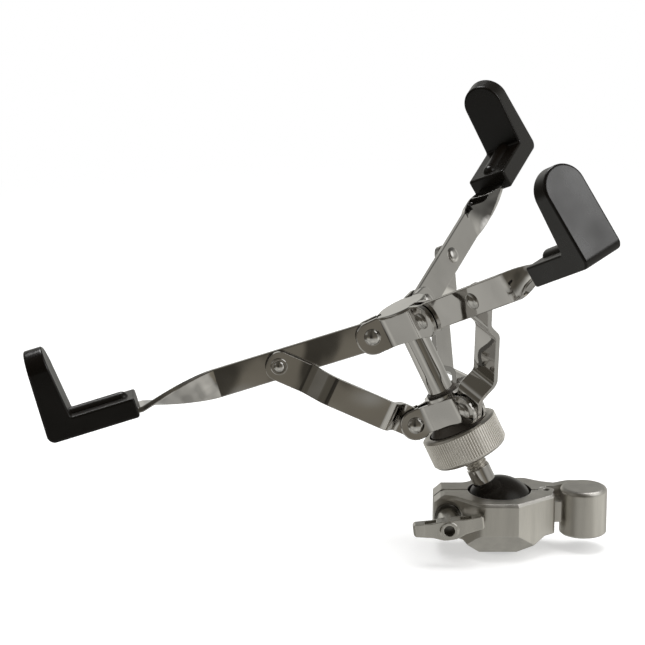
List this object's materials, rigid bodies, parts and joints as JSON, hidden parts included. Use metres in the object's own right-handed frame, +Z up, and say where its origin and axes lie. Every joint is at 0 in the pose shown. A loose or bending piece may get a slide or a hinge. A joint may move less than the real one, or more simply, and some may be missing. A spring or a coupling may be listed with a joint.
{
  "type": "snare drum stand basket",
  "caption": "Folding strip arms with L-shaped rubber grips hold a drum on a post that tilts in a hinged ball clamp, with a closed socket for the stand's tube.",
  "frame": {"origin": "centre of the tube socket's mouth, on the under face of the clamp's boss", "axes": "+Z up along the socket, +X from the ball to the socket (right in the picture), +Y away from the wing nut"},
  "size_m": [0.3182, 0.3609, 0.2495],
  "materials": {
    "cast": "satin, plated die casting",
    "cast_bright": "bright plated die casting",
    "steel": "plated steel",
    "chrome": "mirror chrome plate on steel strip",
    "satin_chrome": "satin chrome, finely ribbed rim",
    "rivet": "polished rivet heads",
    "resin": "glossy black resin",
    "black_plastic": "black plastic",
    "rubber": "semi-gloss black rubber"
  },
  "bodies": {
    "clamp": {"clamp_body": "cast", "hinge_pin": "steel", "clamp_bolt": "steel"},
    "jaw": {"front_jaw": "cast"},
    "washer": {"wing_washer": "steel"},
    "wing": {"wing_nut": "cast_bright"},
    "ball": {"ball": "resin"},
    "post": {"centre_post": "chrome", "top_hub": "chrome", "ball_screw": "steel", "hub_rivet_left": "rivet", "hub_rivet_right": "rivet", "hub_rivet_back": "rivet"},
    "collar": {"slide_collar": "chrome", "collar_bush": "black_plastic", "thrust_washer": "steel", "collar_rivet_left": "rivet", "collar_rivet_right": "rivet", "collar_rivet_back": "rivet"},
    "nut": {"adjusting_nut": "satin_chrome"},
    "left_arm": {"arm_left": "chrome", "grip_left": "rubber", "strut_rivet_left": "rivet"},
    "left_strut": {"strut_left": "chrome"},
    "right_arm": {"arm_right": "chrome", "grip_right": "rubber", "strut_rivet_right": "rivet"},
    "right_strut": {"strut_right": "chrome"},
    "back_arm": {"arm_back": "chrome", "grip_back": "rubber", "strut_rivet_back": "rivet"},
    "back_strut": {"strut_back": "chrome"}
  },
  "joints": [
    {"name": "wing_travel", "type": "slide", "parent": "clamp", "child": "washer", "axis": [0, -1, 0], "range_m": [0, 0.00421]},
    {"name": "wing_spin", "type": "hinge", "parent": "washer", "child": "wing", "pos_m": [-0.075, 0, 0.0126], "axis": [0, -1, 0], "range_deg": [0, 1512]},
    {"name": "jaw_open", "type": "hinge", "parent": "clamp", "child": "jaw", "pos_m": [-0.0206, 0, 0.0114], "axis": [0, 0, 1], "range_deg": [0, 3.51]},
    {"name": "ball_tilt", "type": "hinge", "parent": "clamp", "child": "ball", "pos_m": [-0.0462, 0, 0.0114], "axis": [0.0872, 0.9962, 0], "range_deg": [-8.6, 59.4]},
    {"name": "post_spin", "type": "hinge", "parent": "ball", "child": "post", "pos_m": [-0.0462, 0, 0.0114], "axis": [-0.4273, 0.0374, 0.9033], "continuous": true},
    {"name": "collar_slide", "type": "slide", "parent": "post", "child": "collar", "axis": [-0.4273, 0.0374, 0.9033], "range_m": [-0.00371, 0.02091]},
    {"name": "nut_spin", "type": "hinge", "parent": "collar", "child": "nut", "pos_m": [-0.06757, 0.00187, 0.05657], "axis": [-0.4273, 0.0374, 0.9033], "range_deg": [-761.14, 4299.43]},
    {"name": "left_arm_swing", "type": "hinge", "parent": "post", "child": "left_arm", "pos_m": [-0.11664, 0.0029, 0.11135], "axis": [-0.0531, 0.9964, -0.0664], "range_deg": [-6.47, 36.46]},
    {"name": "left_strut_swing", "type": "hinge", "parent": "left_arm", "child": "left_strut", "pos_m": [-0.1673, -0.00081, 0.09622], "axis": [-0.0531, 0.9964, -0.0664], "range_deg": [-25.18, 4.47]},
    {"name": "right_arm_swing", "type": "hinge", "parent": "post", "child": "right_arm", "pos_m": [-0.08725, -0.01281, 0.12591], "axis": [-0.7551, -0.5643, -0.3338], "range_deg": [-6.47, 36.46]},
    {"name": "right_strut_swing", "type": "hinge", "parent": "right_arm", "child": "right_strut", "pos_m": [-0.06453, -0.05575, 0.1471], "axis": [-0.7551, -0.5643, -0.3338], "range_deg": [-25.18, 4.47]},
    {"name": "back_arm_swing", "type": "hinge", "parent": "post", "child": "back_arm", "pos_m": [-0.08918, 0.02343, 0.12349], "axis": [0.8082, -0.4321, 0.4002], "range_deg": [-6.47, 36.46]},
    {"name": "back_strut_swing", "type": "hinge", "parent": "back_arm", "child": "back_strut", "pos_m": [-0.07128, 0.07095, 0.13867], "axis": [0.8082, -0.4321, 0.4002], "range_deg": [-25.18, 4.47]}
  ],
  "couplings": [
    {"joint": "wing_travel", "follows": "wing_spin", "m_per_rad": 0.00015915},
    {"joint": "jaw_open", "follows": "wing_spin", "ratio": 0.0023148},
    {"joint": "collar_slide", "follows": "nut_spin", "m_per_rad": 0.00027852},
    {"joint": "left_arm_swing", "follows": "nut_spin", "ratio": 0.0084752},
    {"joint": "left_strut_swing", "follows": "nut_spin", "ratio": -0.0058513},
    {"joint": "right_arm_swing", "follows": "nut_spin", "ratio": 0.0084752},
    {"joint": "right_strut_swing", "follows": "nut_spin", "ratio": -0.0058513},
    {"joint": "back_arm_swing", "follows": "nut_spin", "ratio": 0.0084752},
    {"joint": "back_strut_swing", "follows": "nut_spin", "ratio": -0.0058513}
  ]
}
